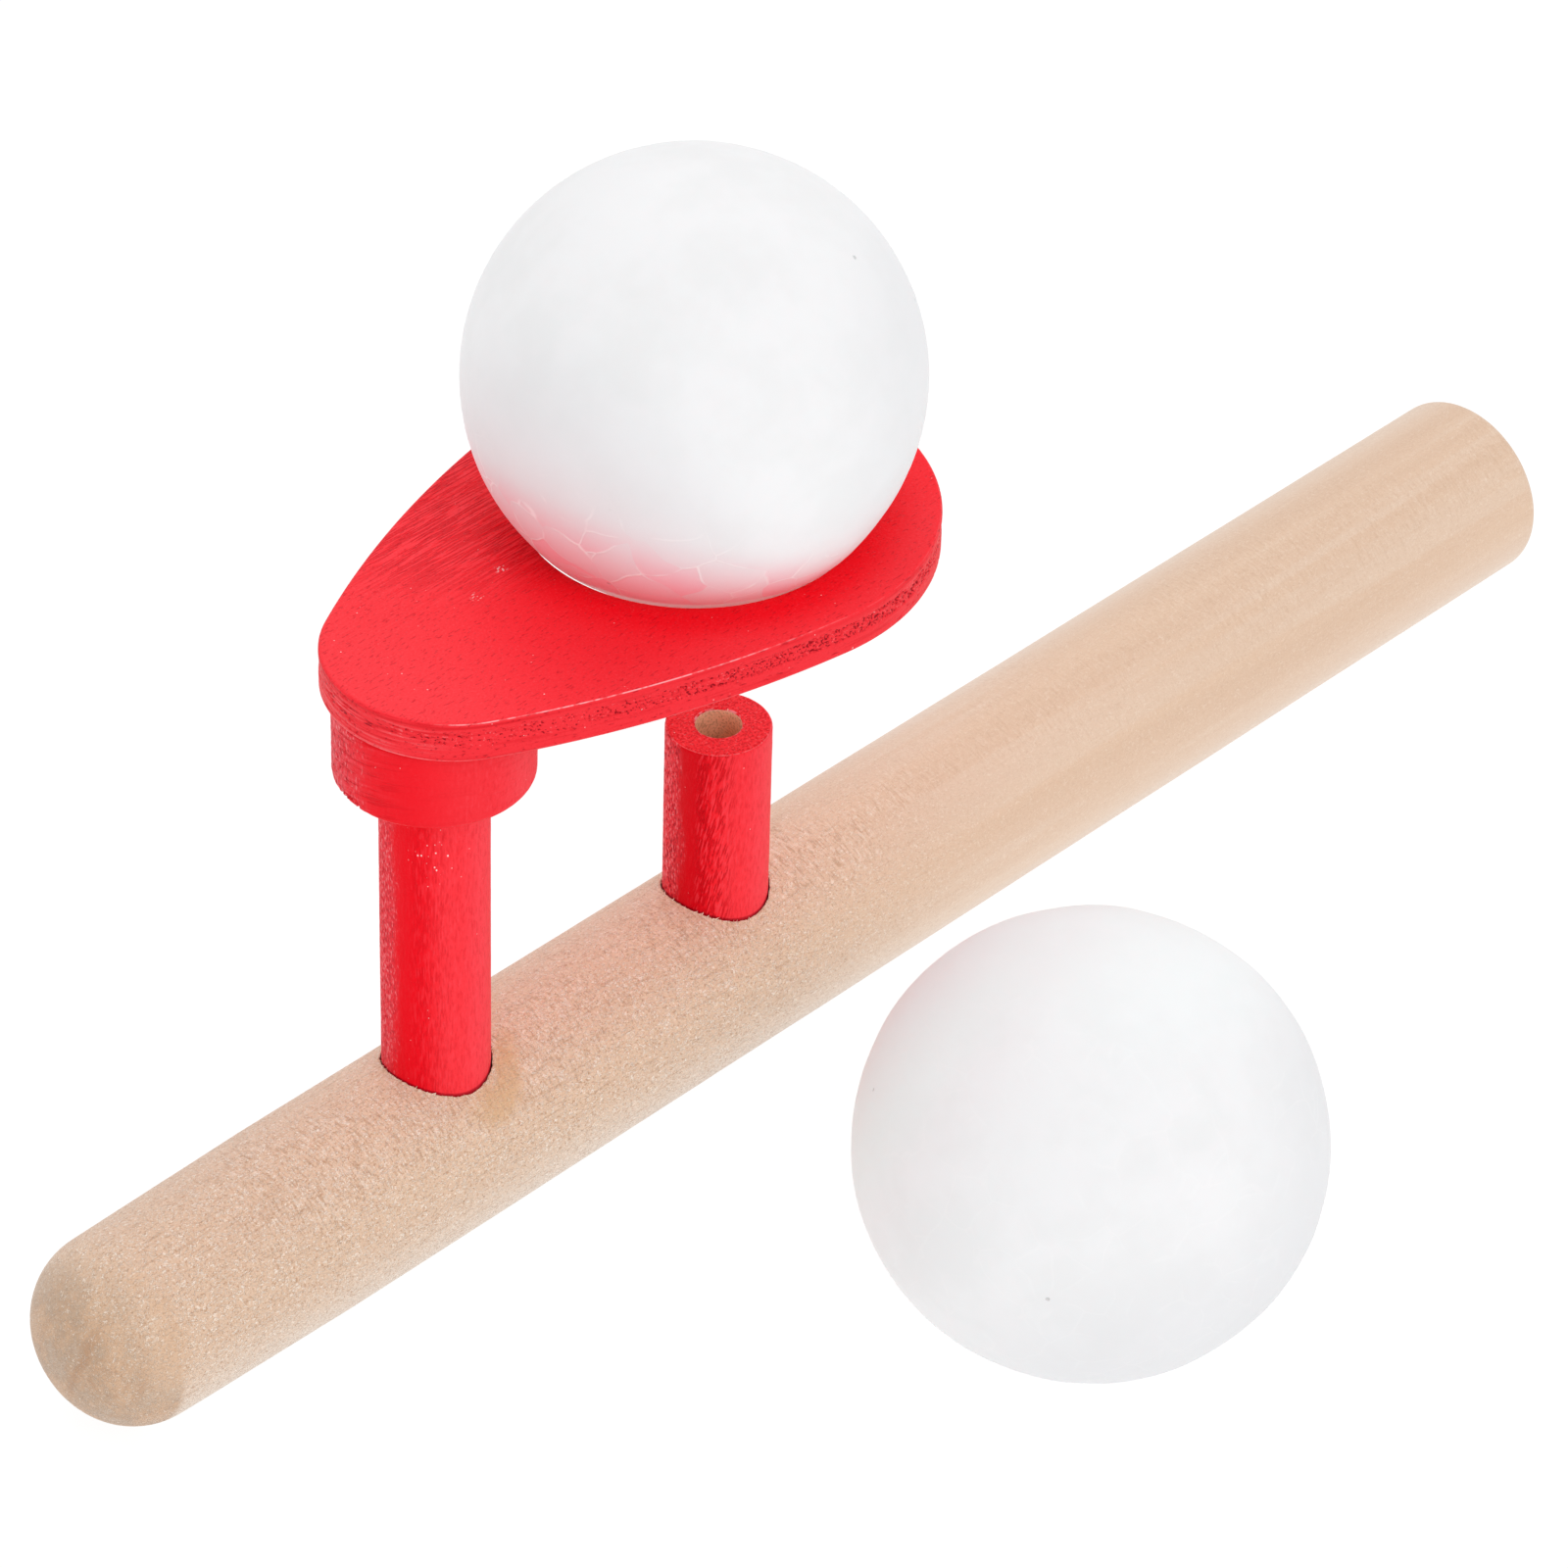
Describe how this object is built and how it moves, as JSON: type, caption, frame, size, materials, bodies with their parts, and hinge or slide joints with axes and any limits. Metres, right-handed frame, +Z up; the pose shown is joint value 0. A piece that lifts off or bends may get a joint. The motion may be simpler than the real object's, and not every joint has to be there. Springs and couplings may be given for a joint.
{
  "type": "floating ball pipe toy",
  "caption": "Wooden blow pipe with a drilled jet post, a red egg-shaped plate on a second post that seats a foam ball over the jet, and a spare ball beside it.",
  "frame": {"origin": "centre of the mouth's end face, on the axis of the pipe and of its air bore", "axes": "+X along the pipe's axis and out of the mouth, +Z up along both posts, +Y completes the right hand; the spare ball lies on the -Y side"},
  "size_m": [0.1535, 0.0758, 0.0783],
  "materials": {
    "bare_wood": "matte",
    "red_paint": "satin",
    "white_foam": "matte"
  },
  "bodies": {
    "pipe_and_plate": {"pipe": "bare_wood", "support_post": "red_paint", "nozzle_post": "red_paint", "collar": "red_paint", "plate": "red_paint"},
    "ball": {"ball": "white_foam"},
    "spare_ball": {"spare_ball": "white_foam"}
  },
  "joints": [
    {"name": "ball_float", "type": "slide", "parent": "pipe_and_plate", "child": "ball", "axis": [0, 0, 1], "range_m": [0, 0.1]},
    {"name": "spare_ball_lift", "type": "slide", "parent": "pipe_and_plate", "child": "spare_ball", "axis": [0, 0, 1], "range_m": [0, 0.1]}
  ]
}
